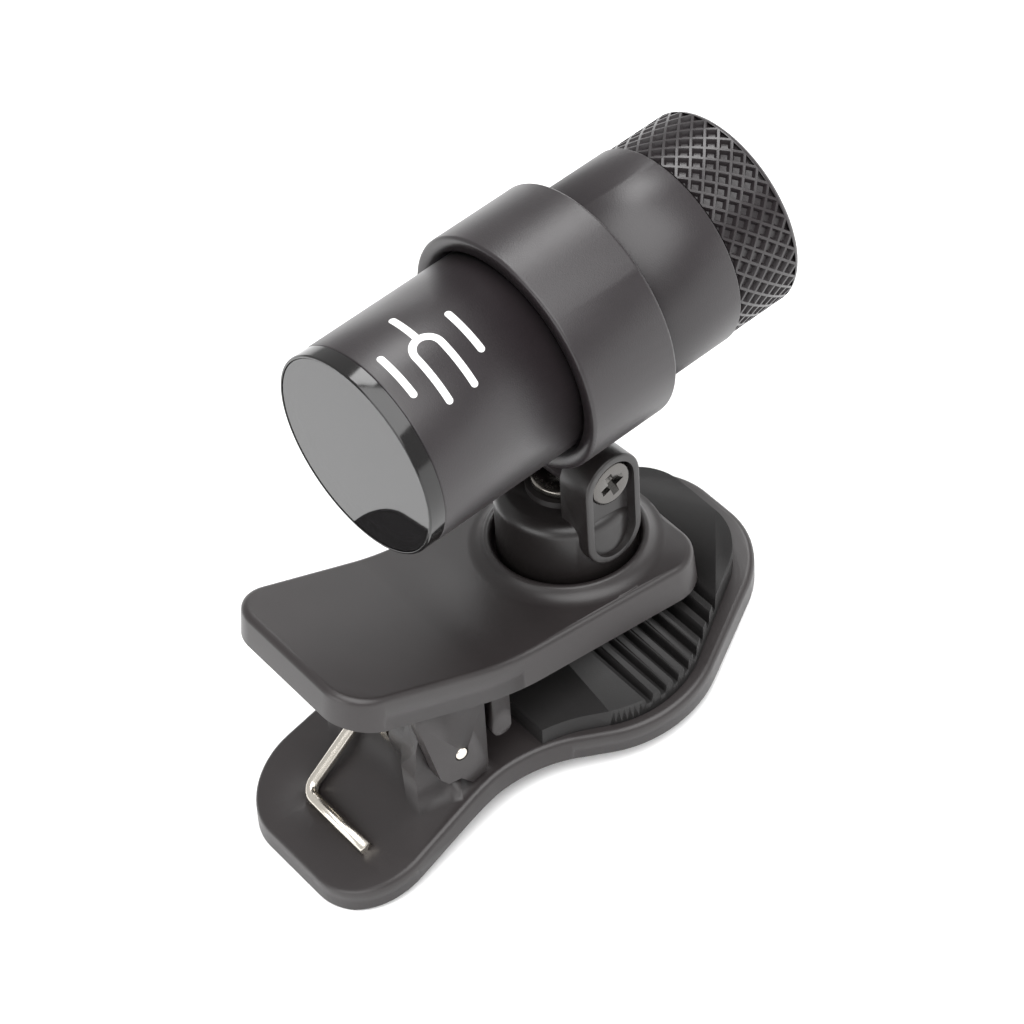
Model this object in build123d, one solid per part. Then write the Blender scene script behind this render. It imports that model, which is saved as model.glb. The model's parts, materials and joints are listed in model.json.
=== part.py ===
"""Clip-on tuner: a round display barrel held in a tilting collar on a swivelling yoke,
carried by a sprung two-lever clip.  Millimetres, +Z up, +Y towards the jaw tip, +X to
the right seen from the display; the origin is on the table under the middle of the clip.

Three working frames are used, and each piece is drawn in one of them:
  barrel frame  origin at the middle of the display face, +Z along the barrel to the cap
  head frame    origin on the swivel axis at the crest of the upper lever's ring, +Z up
  clip frame    the head frame turned back by the swivel angle, so X lies across the clip
"""
from build123d import *
import math
import os

# ---------------------------------------------------------------- clearances
RUN_GAP = 0.10            # turning fits, on the radius
FIT_GAP = 0.05            # pieces cemented or pressed together
MERGE = 0.10              # solids that fuse run this far into each other
PAST = 1.0                # cutters run this far past what they cut

# ---------------------------------------------------------------- barrel
TUBE_R = 12.15
TUBE_WALL = 1.30
FRONT_TUBE_END = 26.75    # measured along the barrel from the display face
REAR_TUBE_END = 44.10
BEZEL_LENGTH = 2.0
BEZEL_SKIRT = 3.0
BEZEL_SKIRT_WALL = 0.7
BEZEL_LAND = 0.75         # glossy rim left round the window
BEZEL_EDGE = 0.45
NECK_WIDTH = 4.0          # groove round the barrel for the collar's inner rib
NECK_DEPTH = 0.45
TUBE_EDGE = 0.25

# ---------------------------------------------------------------- display stack
WINDOW_THICK = 1.1
WINDOW_RECESS = 0.10
SEAL_THICK = 0.25
SEAL_WIDTH = 0.8
LCD_SIDE = 13.6
LCD_THICK = 1.7
LCD_CHAMFER = 0.4
LCD_FRAME_LIP = 1.0       # the frame stands this far behind the display glass
LIGHT_GAP = 0.1           # between the light guide and the board
STRIP_INSET = 0.5
BACKLIGHT_HEIGHT = 11.0
STRIP_WIDTH = 1.1
BOARD_THICK = 1.0
CHIP_SIDE = 5.0
CHIP_THICK = 0.9
CRYSTAL = ((-1.6, 1.6), (4.2, 5.7), 0.7)        # range across, range up, height
AMPLIFIER = ((-2.0, 1.0), (-6.4, -4.4), 0.9)
RESISTOR = ((4.2, 5.2), (-0.3, 0.3), 0.4)
RESISTOR_ROWS = (-3.0, -1.5, 0.0, 1.5, 3.0)
WIRE_HOLE_R = 0.6
WIRE_HOLE_AT = 7.5
WIRE_HOLE_TURN = 20.0
PIEZO_R = 5.0
PIEZO_CERAMIC_R = 3.5
PIEZO_THICK = 0.35

# ---------------------------------------------------------------- battery end
CELL_R = 10.0             # lithium coin cell, 20 mm across and 3.2 mm thick
CELL_THICK = 3.2
CELL_GAP = 0.1
CELL_EDGE = 0.5
CELL_STEP_WIDTH = 1.1     # step round the cell's small face
CELL_STEP_DEPTH = 0.3
BULKHEAD = 1.0
BULKHEAD_AT = 9.5         # front bulkhead, carries the vibration sensor
CELL_FLOOR = 37.2         # rear face of the wall that the cell lies against
CHASSIS_BORE_R = 9.4
WIRE_SLOT = ((6.5, 8.5), (-1.2, 1.2))           # ranges across and up
LEAF_SLOT = ((-1.2, 1.2), (5.0, 6.2))
LEAF_THICK = 0.25
LEAF_HALF_WIDTH = 1.1
LEAF_LOW = -4.0
LEAF_HIGH = 5.6
PLUS_HALF_WIDTH = 1.5
PLUS_INSET = 0.5          # from the chassis bore to the strip

# ---------------------------------------------------------------- knurled cap
CAP_STEP = 0.2            # the cap is this much smaller than the tube, on the radius
CAP_R = TUBE_R - CAP_STEP
CAP_LENGTH = 8.9
CAP_WALL = 1.5
CAP_SKIRT = 2.3
CAP_SKIRT_WALL = 1.2
CAP_EDGE = 0.9
O_RING_WIRE = 0.8
O_RING_IN = 0.9           # from the tube's end to the O-ring
O_RING_SLACK = 0.02
SWITCH_RING_WIDTH = 1.55
SWITCH_RING_LIFT = 1.3    # from the coin cell to the ring
CELL_PAD_INSET = 2.4
CELL_PAD_GAP = 0.3

# ---------------------------------------------------------------- collar and tilt joint
COLLAR_WALL = 1.7
COLLAR_WIDTH = 11.8
COLLAR_BORE_GAP = 0.5     # visible gap between the collar's bore and the tube
COLLAR_RIB_WIDTH = 3.6
COLLAR_EDGE = 0.4
LUG_DROP = 3.9            # tilt axis below the outside of the collar
TILT_AT_REST = 4.24       # the display end sits lower than the cap end, degrees
TILT_AXIS_Z = 12.3        # above the ring of the upper lever
LUG_R = 2.9
LUG_HALF_WIDTH = 3.4
TILT_SCREW_R = 1.0
TILT_HEAD_R = 2.75
TILT_HEAD_THICK = 1.2
TILT_HEAD_EDGE = 0.5
TILT_RECESS = 3.2         # width of the driver recess
TILT_RECESS_DEPTH = 0.9
TILT_RECESS_TURN = 20.0
RECESS_ARM = 0.28         # arm of a driver recess, as a share of its width
WASHER_INSET = 0.2        # the washer is this much smaller than the lug
NUT_THICK = 1.3
NUT_ACROSS_FLATS = 4.0

# ---------------------------------------------------------------- swivel yoke
SWIVEL_AT_REST = 4.0      # yoke turned anticlockwise from the clip, degrees
DRUM_R = 7.9
DRUM_TOP = 7.2
DRUM_EDGE = 1.5
CHEEK_INNER = 4.1
CHEEK_STEP = 6.0          # inner face of the outer plate, below the drum's top
CHEEK_OUTER = 8.5
CHEEK_HALF_WIDTH = 3.9
CHEEK_BOTTOM = 1.3
CHEEK_RIM = 0.9
CHEEK_RECESS = 1.4
CHEEK_EDGE = 0.3
CHEEK_ROOT = 0.5          # the cheeks' inner plates start this far below the drum's top
SWIVEL_BOSS_R = 4.3
SWIVEL_HEAD_R = 3.65
SWIVEL_HEAD_THICK = 0.9
SWIVEL_HEAD_TOP = 9.0
SWIVEL_HEAD_EDGE = 0.3
SWIVEL_RECESS = 3.4
SWIVEL_RECESS_DEPTH = 0.6
SWIVEL_SHANK_R = 1.5
SWIVEL_NUT_FLATS = 5.0
SWIVEL_NUT_THICK = 1.8

# ---------------------------------------------------------------- upper lever
DISH_GAP = 0.4            # between the yoke's drum and the ring round it
DISH_R = DRUM_R + DISH_GAP
DISH_FLOOR = -2.0
RING_R = DISH_R + 0.66    # crest of the ring round the dish
RING_FOOT_R = RING_R + 2.24
RING_CREST = 0.4          # half the width of the rounded crest
RING_DROP = 0.2           # height of the crest's rounding
RING_INNER_TOP = -1.0     # where the ring's inner slope starts
RING_HOLLOW_R = RING_R + 0.9
RING_HOLLOW_Z = -0.85
RING_ROOT = 0.5           # how deep the ring is sunk into the plate
PLATE_TOP = -1.4          # flat top of the jaw half
PLATE_THICK = 2.0
TIP_TRIM = 0.3            # the plate's tip cuts this much off the ring's foot
UPPER_TIP = RING_FOOT_R - TIP_TRIM
UPPER_BEND = -17.0
UPPER_END = -38.3
UPPER_RISE = 6.4          # top of the handle's end above the flat
UPPER_BEND_R = 30.0
JAW_RIM = 0.5             # plate left outside the ring's foot at either side
UPPER_HALF_JAW = RING_FOOT_R + JAW_RIM
UPPER_HALF_END = 12.0
UPPER_TIP_CORNER = 4.5
UPPER_END_CORNER = 5.0
SKIRT_DEPTH = 4.4
SKIRT_WALL = 1.6
SKIRT_DRAFT = 5.0         # sides lean out towards the open underside, degrees
UPPER_EDGE = 0.8
POST_R = 4.2
POST_LENGTH = 3.0
EAR_INSET = 0.7           # from the jaw's side to the outside of its ears
UPPER_EAR_OUT = UPPER_HALF_JAW - EAR_INSET
UPPER_EAR_THICK = 1.8
UPPER_EAR_SHAPE = ((-5.6, 8.0), (-3.0, -2.2), (-2.0, -3.4), (-0.3, -3.6), (1.2, -5.2),
                   (3.0, -4.6), (3.4, -3.4))    # (y, z) from the hinge axis
UPPER_EAR_ROOT = (-5.7, 3.4)                    # where the ear leaves the plate
STOP_FROM_TO = (4.4, 6.8)                       # rib beside the ear, from the hinge axis
STOP_BOTTOM = -0.4
STOP_TOP = -2.0
EAR_SUNK = 1.0            # how far the ears run into the levers
STOP_EDGE = 0.9

# ---------------------------------------------------------------- lower lever
LOWER_THICK = 2.9
LOWER_TIP = 21.8
LOWER_TIP_Z = -7.9        # heights of the lever's top face at its tip, bend and end
LOWER_BEND = -21.5
LOWER_BEND_Z = -17.1
LOWER_END = -39.8
LOWER_END_Z = -25.6
LOWER_BEND_R = 25.0
LOWER_TIP_HALF = 8.9      # half widths of the outline, before its corners are rounded
LOWER_WIDE_HALF = 22.0
LOWER_WIDE_Y = -0.7
WAIST_RIM = 0.6           # left outside the upper lever's ears
LOWER_WAIST_HALF = UPPER_EAR_OUT + WAIST_RIM
LOWER_WAIST_Y = -15.0
LOWER_END_HALF = 13.5
LOWER_TIP_CORNER = 11.5
LOWER_WIDE_CORNER = 13.0
LOWER_WAIST_CORNER = 15.0
LOWER_END_CORNER = 8.0
LOWER_EDGE = 0.7
TIP_SIDE_SHARE = 0.6      # how much of a side inset narrows the tip
LANDING = 0.25            # taken off underneath so the lever stands on two flats

# ---------------------------------------------------------------- hinge and spring
PIN_Y = -23.46            # hinge axis, in the clip frame
PIN_Z = -11.65
PIN_R = 0.8
PIN_PRESS_GAP = 0.02
PIN_RUN_GAP = 0.08
PIN_PROUD = 0.05
PIN_EDGE = 0.25
LOWER_EAR_THICK = 2.6
LOWER_EAR_SHAPE = ((-5.0, -2.0), (-4.6, 1.5), (-3.7, 4.8), (-1.0, 4.6), (1.2, 3.4), (3.0, 1.4))
LOWER_EAR_ROOT = (-4.7, 4.6)
LOWER_EAR_EDGE = 0.6
ROOT_SLANT = 1.2          # the back of the ear's root lies this much lower
GUSSET_SUNK = 0.5
EAR_SIDE_GAP = 0.35
BUSH_R = 2.9              # sleeve on the pin that carries the coil
WIRE_R = 0.75
BUSH_GAP = 0.2
COIL_R = BUSH_R + BUSH_GAP + WIRE_R             # to the middle of the wire
COIL_LEFT = -4.5
TURN_GAP = 0.08
COIL_PITCH = 2 * WIRE_R + TURN_GAP
COIL_TURNS = 4.396        # leaves the coil pointing at the underside of the upper handle
COIL_END_GAP = 0.4
LEG_REACH = 11.0          # from the hinge axis to the crosswise ends of the spring
LEG_STRAIGHT = 2.5        # straight out of the coil before the lower leg bends down
LEG_BEND_R = 1.6
LEG_RIGHT = 6.9
LEG_SUNK = 0.35           # how deep the crosswise end lies in the lower handle
LEG_CLEAR = 0.03
LEG_UPPER_CROSS = 7.0
POCKET_GAP = 0.15
BOSS_R = COIL_R + WIRE_R  # boss on the right-hand lower ear, beside the coil
BOSS_FROM = COIL_LEFT + COIL_PITCH * COIL_TURNS + WIRE_R + COIL_END_GAP
GUSSET_OUT = UPPER_EAR_OUT - 0.4
GUSSET_FROM_TO = (-1.5, -0.1)                   # from the hinge axis
GUSSET_TOP = -15.95

# ---------------------------------------------------------------- grip pads
PAD_MARGIN = 1.7          # bare rim left along the sides of the lower pad
PAD_TIP_MARGIN = 3.1
PAD_REAR = -13.6
PAD_FLAT = 2.2            # heights above the lever's top face
PAD_TIP_HEIGHT = 3.0
RIB_START = -3.2
RIB_PITCH = 1.85
RIB_COUNT = 8
RIB_DEPTH = 0.9
UPPER_PAD_REAR = -10.5
UPPER_PAD_FACE = -7.25
UPPER_PAD_GAP = 0.2
UPPER_PAD_EDGE = 0.5
UPPER_RIB_DEPTH = 0.6
UPPER_RIB_START = 1.6     # from the pad's front to its first groove
RIB_GROOVE = (0.15, 0.45, 0.60)                 # groove's flat and slope, shares of the pitch


# ================================================================ drawing helpers
def tube(outer, inner, start, end):
    """A plain ring about +Z between two heights."""
    return Pos(0, 0, start) * extrude(Circle(outer) - Circle(inner), end - start)


def disc(radius, start, end):
    """A plain disc about +Z between two heights."""
    return Pos(0, 0, start) * extrude(Circle(radius), end - start)


def block(x_range, y_range, z_range):
    """A box given by its three ranges."""
    size = [high - low for low, high in (x_range, y_range, z_range)]
    middle = [(high + low) / 2 for low, high in (x_range, y_range, z_range)]
    return Pos(*middle) * Box(*size)


def rod_x(radius, start, end, y=0.0, z=0.0):
    """A round bar along X at a given Y and Z."""
    return Pos((start + end) / 2, y, z) * Rot(0, 90, 0) * Cylinder(radius, end - start)


def cross_recess(width, depth):
    """The cutter of a cross-headed driver recess, opening towards +Z at the origin."""
    arm = width * RECESS_ARM
    taper = Polyline((-width / 2, 0), (width / 2, 0), (arm / 2, -depth), (-arm / 2, -depth),
                     close=True)
    blade = extrude(Plane.XZ * make_face(taper), arm / 2, both=True)
    return blade + Rot(0, 0, 90) * blade


def round_rims(body, radius, lowest=True, highest=True):
    """Round the outermost circular edges at either end of a turned piece."""
    circles = body.edges().filter_by(GeomType.CIRCLE).group_by(Axis.Z)
    rims = []
    if lowest:
        rims.append(circles[0].sort_by(SortBy.RADIUS)[-1])
    if highest:
        rims.append(circles[-1].sort_by(SortBy.RADIUS)[-1])
    return fillet(rims, radius)


def rounded_outline(corners):
    """A face through (x, y, radius) corners, mirrored in X = 0; radius 0 stays sharp."""
    right = [(x, y) for x, y, _ in corners]
    left = [(-x, y) for x, y, _ in reversed(corners)]
    face = make_face(Polyline(*right, *left, close=True))
    for x, y, radius in corners:
        if radius:
            near = [v for v in face.vertices()
                    if abs(abs(v.X) - x) < 0.01 and abs(v.Y - y) < 0.01]
            face = fillet(near, radius)
    return face


def side_band(tip, bend, end, thickness, bend_radius):
    """A bent strip seen from the side: (y, z) points on its top face, thickness down."""
    path = FilletPolyline(tip, bend, end, radius=bend_radius)
    below = [(y, z - thickness) for y, z in (end, bend, tip)]
    lower_path = FilletPolyline(*below, radius=bend_radius)
    edges = [*path.edges(), Line(end, below[0]), *lower_path.edges(), Line(below[2], tip)]
    return Plane.YZ * make_face(edges)


# ================================================================ barrel pieces
TUBE_BORE_R = TUBE_R - TUBE_WALL
NECK_R = TUBE_R - NECK_DEPTH
SKIRT_BORE_R = TUBE_BORE_R - FIT_GAP - BEZEL_SKIRT_WALL
WINDOW_R = TUBE_R - BEZEL_LAND - FIT_GAP
WINDOW_BACK = WINDOW_RECESS + WINDOW_THICK
SEAL_BACK = WINDOW_BACK + SEAL_THICK
LCD_FRONT = BEZEL_LENGTH
LCD_BACK = LCD_FRONT + LCD_THICK
BOARD_FRONT = BEZEL_LENGTH + BEZEL_SKIRT
BOARD_BACK = BOARD_FRONT + BOARD_THICK
CHASSIS_R = TUBE_BORE_R - FIT_GAP
CELL_BACK = CELL_FLOOR + CELL_GAP + CELL_THICK
CAP_FRONT = REAR_TUBE_END + RUN_GAP
CAP_BACK = CAP_FRONT + CAP_LENGTH
CAP_SKIRT_R = TUBE_BORE_R - RUN_GAP
CAP_BORE_R = CAP_SKIRT_R - CAP_SKIRT_WALL
CAP_SKIRT_FRONT = REAR_TUBE_END - CAP_SKIRT
O_RING_AT = REAR_TUBE_END - O_RING_IN


def make_bezel_ring():
    rim = disc(TUBE_R, 0, BEZEL_LENGTH)
    rim = round_rims(rim, BEZEL_EDGE, highest=False)
    skirt = disc(TUBE_BORE_R - FIT_GAP, BEZEL_LENGTH, BOARD_FRONT)
    bore = disc(SKIRT_BORE_R, -PAST, BOARD_FRONT + PAST)
    pocket = disc(WINDOW_R + FIT_GAP, -PAST, SEAL_BACK)
    return rim + skirt - bore - pocket


def make_display_window():
    return disc(WINDOW_R, WINDOW_RECESS, WINDOW_BACK)


def make_window_seal():
    return tube(WINDOW_R, WINDOW_R - SEAL_WIDTH, WINDOW_BACK, SEAL_BACK)


def make_lcd_frame():
    half = LCD_SIDE / 2 + FIT_GAP
    back = LCD_BACK + LCD_FRAME_LIP
    plate = disc(SKIRT_BORE_R - FIT_GAP, LCD_FRONT, back)
    return plate - block((-half, half), (-half, half), (LCD_FRONT - PAST, back + PAST))


def make_lcd_panel():
    half = LCD_SIDE / 2
    glass = block((-half, half), (-half, half), (LCD_FRONT, LCD_BACK))
    return chamfer(glass.edges().filter_by(Axis.Z), LCD_CHAMFER)


def make_backlight():
    half = LCD_SIDE / 2
    high = BACKLIGHT_HEIGHT / 2
    return block((-half, half), (-high, high), (LCD_BACK, BOARD_FRONT - LIGHT_GAP))


def make_zebra_strips():
    half = LCD_SIDE / 2 - STRIP_INSET
    edge = BACKLIGHT_HEIGHT / 2 + FIT_GAP
    strip = block((-half, half), (edge, edge + STRIP_WIDTH), (LCD_BACK, BOARD_FRONT))
    return [strip, mirror(strip, Plane.XZ)]


def make_main_board():
    board = disc(CHASSIS_R, BOARD_FRONT, BOARD_BACK)
    wire_hole = Pos(WIRE_HOLE_AT, 0, 0) * disc(WIRE_HOLE_R, BOARD_FRONT - PAST, BOARD_BACK + PAST)
    return board - wire_hole - Rot(0, 0, WIRE_HOLE_TURN) * wire_hole


def on_board(across, up, height):
    """A component on the back of the board."""
    return block(across, up, (BOARD_BACK, BOARD_BACK + height))


def make_board_chips():
    half = CHIP_SIDE / 2
    processor = on_board((-half, half), (-half, half), CHIP_THICK)
    passives = [Pos(0, row, 0) * on_board(*RESISTOR) for row in RESISTOR_ROWS]
    return [processor, on_board(*CRYSTAL), on_board(*AMPLIFIER), *passives]


def make_inner_chassis():
    shell = tube(CHASSIS_R, CHASSIS_BORE_R, BOARD_BACK, CELL_BACK)
    front_wall = disc(CHASSIS_BORE_R + MERGE, BULKHEAD_AT, BULKHEAD_AT + BULKHEAD)
    rear_wall = disc(CHASSIS_BORE_R + MERGE, CELL_FLOOR - BULKHEAD, CELL_FLOOR)
    cell_pocket = disc(CELL_R + CELL_GAP, CELL_FLOOR, CELL_BACK + PAST)
    wire_slot = block(*WIRE_SLOT, (BULKHEAD_AT - PAST, CELL_FLOOR + PAST))
    leaf_slot = block(*LEAF_SLOT, (CELL_FLOOR - BULKHEAD - PAST, CELL_FLOOR + PAST))
    return shell + front_wall + rear_wall - cell_pocket - wire_slot - leaf_slot


def make_piezo_sensor():
    middle = BULKHEAD_AT - PIEZO_THICK / 2
    brass = disc(PIEZO_R, middle, BULKHEAD_AT)
    ceramic = disc(PIEZO_CERAMIC_R, BULKHEAD_AT - PIEZO_THICK, middle)
    return brass + ceramic


def make_coin_cell():
    can = disc(CELL_R, CELL_FLOOR + CELL_GAP, CELL_BACK)
    can = round_rims(can, CELL_EDGE, lowest=False)
    step = tube(CELL_R + PAST, CELL_R - CELL_STEP_WIDTH, CELL_FLOOR,
                CELL_FLOOR + CELL_GAP + CELL_STEP_DEPTH)
    return can - step


def make_minus_contact():
    """Spring strip through the rear wall that presses on the cell's small face."""
    width = (-LEAF_HALF_WIDTH, LEAF_HALF_WIDTH)
    wall = CELL_FLOOR - BULKHEAD
    foot = block(width, (LEAF_LOW, LEAF_HIGH), (wall - LEAF_THICK, wall))
    riser = block(width, (LEAF_HIGH - LEAF_THICK, LEAF_HIGH), (wall - LEAF_THICK, CELL_FLOOR + CELL_GAP))
    return foot + riser


def make_plus_contact():
    """Strip along the chassis wall that touches the cell's rim."""
    outside = CHASSIS_BORE_R - PLUS_INSET
    return block((-PLUS_HALF_WIDTH, PLUS_HALF_WIDTH), (outside - LEAF_THICK, outside),
                 (BOARD_BACK, BULKHEAD_AT))


def make_rear_tube():
    body = tube(TUBE_R, TUBE_BORE_R, FRONT_TUBE_END, REAR_TUBE_END)
    body -= tube(TUBE_R + PAST, NECK_R, FRONT_TUBE_END - PAST, FRONT_TUBE_END + NECK_WIDTH / 2)
    return round_rims(body, TUBE_EDGE, lowest=False)


def make_front_tube():
    body = tube(TUBE_R, TUBE_BORE_R, BEZEL_LENGTH, FRONT_TUBE_END)
    body = round_rims(body, TUBE_EDGE, highest=False)
    return body - tube(TUBE_R + PAST, NECK_R, FRONT_TUBE_END - NECK_WIDTH / 2, FRONT_TUBE_END + PAST)


# ================================================================ knurled cap
def make_knurled_cap():
    """Moulded cap over the crests of its knurl, with a sleeve and a groove for the O-ring."""
    body = disc(CAP_R, CAP_FRONT, CAP_BACK)
    body = round_rims(body, CAP_EDGE, lowest=False)
    skirt = disc(CAP_SKIRT_R, CAP_SKIRT_FRONT, CAP_FRONT)
    hollow = disc(CAP_BORE_R, CAP_SKIRT_FRONT - PAST, CAP_BACK - CAP_WALL)
    seat = tube(CAP_SKIRT_R + PAST, CAP_SKIRT_R - O_RING_WIRE, O_RING_AT - O_RING_WIRE / 2,
                O_RING_AT + O_RING_WIRE / 2)
    return body + skirt - hollow - seat


def make_o_ring():
    ring_r = CAP_SKIRT_R - O_RING_WIRE / 2 + RUN_GAP / 2
    section = Plane.XZ * Pos(ring_r, O_RING_AT) * Circle(O_RING_WIRE / 2 - O_RING_SLACK)
    return revolve(section, Axis.Z)


def make_switch_ring():
    """Contact ring in the cap that bridges the switch pads when the cap is turned on."""
    outer = CAP_BORE_R - FIT_GAP
    front = CELL_BACK + SWITCH_RING_LIFT
    return tube(outer, outer - SWITCH_RING_WIDTH, front, front + LEAF_THICK)


def make_cell_pressure_pad():
    return disc(CAP_BORE_R - CELL_PAD_INSET, CELL_BACK + CELL_PAD_GAP, CAP_BACK - CAP_WALL)


# ================================================================ collar
COLLAR_BORE_R = TUBE_R + COLLAR_BORE_GAP
COLLAR_R = COLLAR_BORE_R + COLLAR_WALL
BARREL_RISE = COLLAR_R + LUG_DROP              # tilt axis to barrel axis
COLLAR_FRONT = FRONT_TUBE_END - COLLAR_WIDTH / 2
COLLAR_BACK = FRONT_TUBE_END + COLLAR_WIDTH / 2


def make_tilt_collar():
    band = tube(COLLAR_R, COLLAR_BORE_R, COLLAR_FRONT, COLLAR_BACK)
    band = round_rims(band, COLLAR_EDGE)
    rib = tube(COLLAR_BORE_R + MERGE, NECK_R + RUN_GAP, FRONT_TUBE_END - COLLAR_RIB_WIDTH / 2,
               FRONT_TUBE_END + COLLAR_RIB_WIDTH / 2)
    knuckle = rod_x(LUG_R, -LUG_HALF_WIDTH, LUG_HALF_WIDTH, BARREL_RISE, FRONT_TUBE_END)
    neck = block((-LUG_HALF_WIDTH, LUG_HALF_WIDTH), (COLLAR_BORE_R + MERGE, BARREL_RISE),
                 (FRONT_TUBE_END - LUG_R, FRONT_TUBE_END + LUG_R))
    bore = rod_x(TILT_SCREW_R + RUN_GAP, -LUG_HALF_WIDTH - PAST, LUG_HALF_WIDTH + PAST,
                 BARREL_RISE, FRONT_TUBE_END)
    return band + rib + knuckle + neck - bore


# ================================================================ swivel yoke
POST_END = PLATE_TOP - PLATE_THICK - POST_LENGTH


def stadium(half_width, bottom, top_centre, start, end):
    """A plate across X with a round top about top_centre and a round bottom."""
    height = top_centre - bottom - half_width
    outline = Pos(0, top_centre - height / 2) * SlotCenterToCenter(height, 2 * half_width, rotation=90)
    return Pos(start, 0, 0) * extrude(Plane.YZ * outline, end - start)


def make_cheek():
    """The right-hand cheek with its rimmed recess for the screw or the nut."""
    plate = stadium(CHEEK_HALF_WIDTH, CHEEK_BOTTOM, TILT_AXIS_Z, CHEEK_STEP, CHEEK_OUTER)
    plate = fillet(plate.faces().sort_by(Axis.X)[-1].edges(), CHEEK_EDGE)
    inner = stadium(CHEEK_HALF_WIDTH, CHEEK_BOTTOM, TILT_AXIS_Z, CHEEK_INNER, CHEEK_STEP)
    inner -= block((0, CHEEK_OUTER), (-DRUM_R, DRUM_R), (DISH_FLOOR, DRUM_TOP - CHEEK_ROOT))
    recess = stadium(CHEEK_HALF_WIDTH - CHEEK_RIM, CHEEK_BOTTOM + CHEEK_RIM, TILT_AXIS_Z,
                     CHEEK_OUTER - CHEEK_RECESS, CHEEK_OUTER + PAST)
    return plate + inner - recess


def make_swivel_yoke():
    drum = disc(DRUM_R, DISH_FLOOR + RUN_GAP, DRUM_TOP)
    drum = fillet(drum.edges().group_by(Axis.Z)[-1], DRUM_EDGE)
    drum += disc(SWIVEL_BOSS_R, DRUM_TOP - MERGE, SWIVEL_HEAD_TOP - SWIVEL_HEAD_THICK - RUN_GAP)
    drum -= disc(SWIVEL_SHANK_R + RUN_GAP, DISH_FLOOR - PAST, SWIVEL_HEAD_TOP)
    cheek = make_cheek()
    body = drum + cheek + mirror(cheek, Plane.YZ)
    end = CHEEK_OUTER + PAST
    screw_hole = rod_x(TILT_SCREW_R + FIT_GAP, -end, end, 0, TILT_AXIS_Z)
    return body - screw_hole


def make_tilt_screw():
    """Cross-headed screw from the right cheek through the collar's lug to the nut."""
    seat = CHEEK_OUTER - CHEEK_RECESS
    head = Cylinder(TILT_HEAD_R, TILT_HEAD_THICK)
    head = fillet(head.edges().group_by(Axis.Z)[-1], TILT_HEAD_EDGE)
    head -= Pos(0, 0, TILT_HEAD_THICK / 2) * cross_recess(TILT_RECESS, TILT_RECESS_DEPTH)
    turn = Pos(seat + TILT_HEAD_THICK / 2, 0, TILT_AXIS_Z) * Rot(0, 90, 0)
    shank = rod_x(TILT_SCREW_R, -seat - NUT_THICK - MERGE, seat + MERGE, 0, TILT_AXIS_Z)
    return turn * Rot(0, 0, TILT_RECESS_TURN) * head + shank


def make_tilt_nut():
    seat = CHEEK_OUTER - CHEEK_RECESS
    hexagon = RegularPolygon(NUT_ACROSS_FLATS / 2, 6, major_radius=False)
    nut = extrude(hexagon - Circle(TILT_SCREW_R + FIT_GAP), NUT_THICK)
    return Pos(-seat, 0, TILT_AXIS_Z) * Rot(0, -90, 0) * nut


def make_tilt_washers():
    gap = CHEEK_INNER - LUG_HALF_WIDTH
    thick = gap - 2 * RUN_GAP
    washer = tube(LUG_R - WASHER_INSET, TILT_SCREW_R + FIT_GAP, 0, thick)
    right = Pos(CHEEK_INNER - thick, 0, TILT_AXIS_Z) * Rot(0, 90, 0) * washer
    return [right, mirror(right, Plane.YZ)]


def make_swivel_screw():
    """Shouldered screw that holds the yoke down on the upper lever and lets it turn."""
    under = SWIVEL_HEAD_TOP - SWIVEL_HEAD_THICK
    head = disc(SWIVEL_HEAD_R, under, SWIVEL_HEAD_TOP)
    head = fillet(head.edges().group_by(Axis.Z)[-1], SWIVEL_HEAD_EDGE)
    head -= Pos(0, 0, SWIVEL_HEAD_TOP) * cross_recess(SWIVEL_RECESS, SWIVEL_RECESS_DEPTH)
    shank = disc(SWIVEL_SHANK_R, POST_END, under + MERGE)
    return head + shank


def make_swivel_nut():
    hexagon = RegularPolygon(SWIVEL_NUT_FLATS / 2, 6, major_radius=False)
    return Pos(0, 0, POST_END) * extrude(hexagon - Circle(SWIVEL_SHANK_R + FIT_GAP), SWIVEL_NUT_THICK)


# ================================================================ levers
UPPER_SLOPE = UPPER_RISE / (UPPER_BEND - UPPER_END)
LOWER_JAW_SLOPE = (LOWER_TIP_Z - LOWER_BEND_Z) / (LOWER_TIP - LOWER_BEND)
LOWER_HANDLE_SLOPE = (LOWER_BEND_Z - LOWER_END_Z) / (LOWER_BEND - LOWER_END)
OVERRUN = 6.0             # the bent strips run past the outlines that trim them
REACH = 60.0              # cutting shapes reach this far past every piece
SIDES_FROM_TO = (-14.0, 12.0)


def rim_edges(body, height_at):
    """The outer edges of a bent plate's top face."""
    found = []
    box = body.bounding_box()
    for edge in body.edges():
        middle = edge.center()
        across = edge.geom_type == GeomType.LINE and abs(edge.tangent_at(0).X) > 0.99
        inside = box.min.Y + 1 < middle.Y < box.max.Y - 1
        if abs(middle.Z - height_at(middle.Y)) < 0.6 and not (across and inside):
            found.append(edge)
    return found


def upper_top(y):
    return PLATE_TOP + max(0.0, UPPER_BEND - y) * UPPER_SLOPE


def lower_top(y):
    if y > LOWER_BEND:
        return LOWER_BEND_Z + (y - LOWER_BEND) * LOWER_JAW_SLOPE
    return LOWER_BEND_Z + (y - LOWER_BEND) * LOWER_HANDLE_SLOPE


def upper_outline(inset=0.0):
    return rounded_outline([
        (UPPER_HALF_JAW - inset, UPPER_TIP - inset, UPPER_TIP_CORNER - inset),
        (UPPER_HALF_JAW - inset, UPPER_BEND, 0),
        (UPPER_HALF_END - inset, UPPER_END + inset, UPPER_END_CORNER - inset),
    ])


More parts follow.
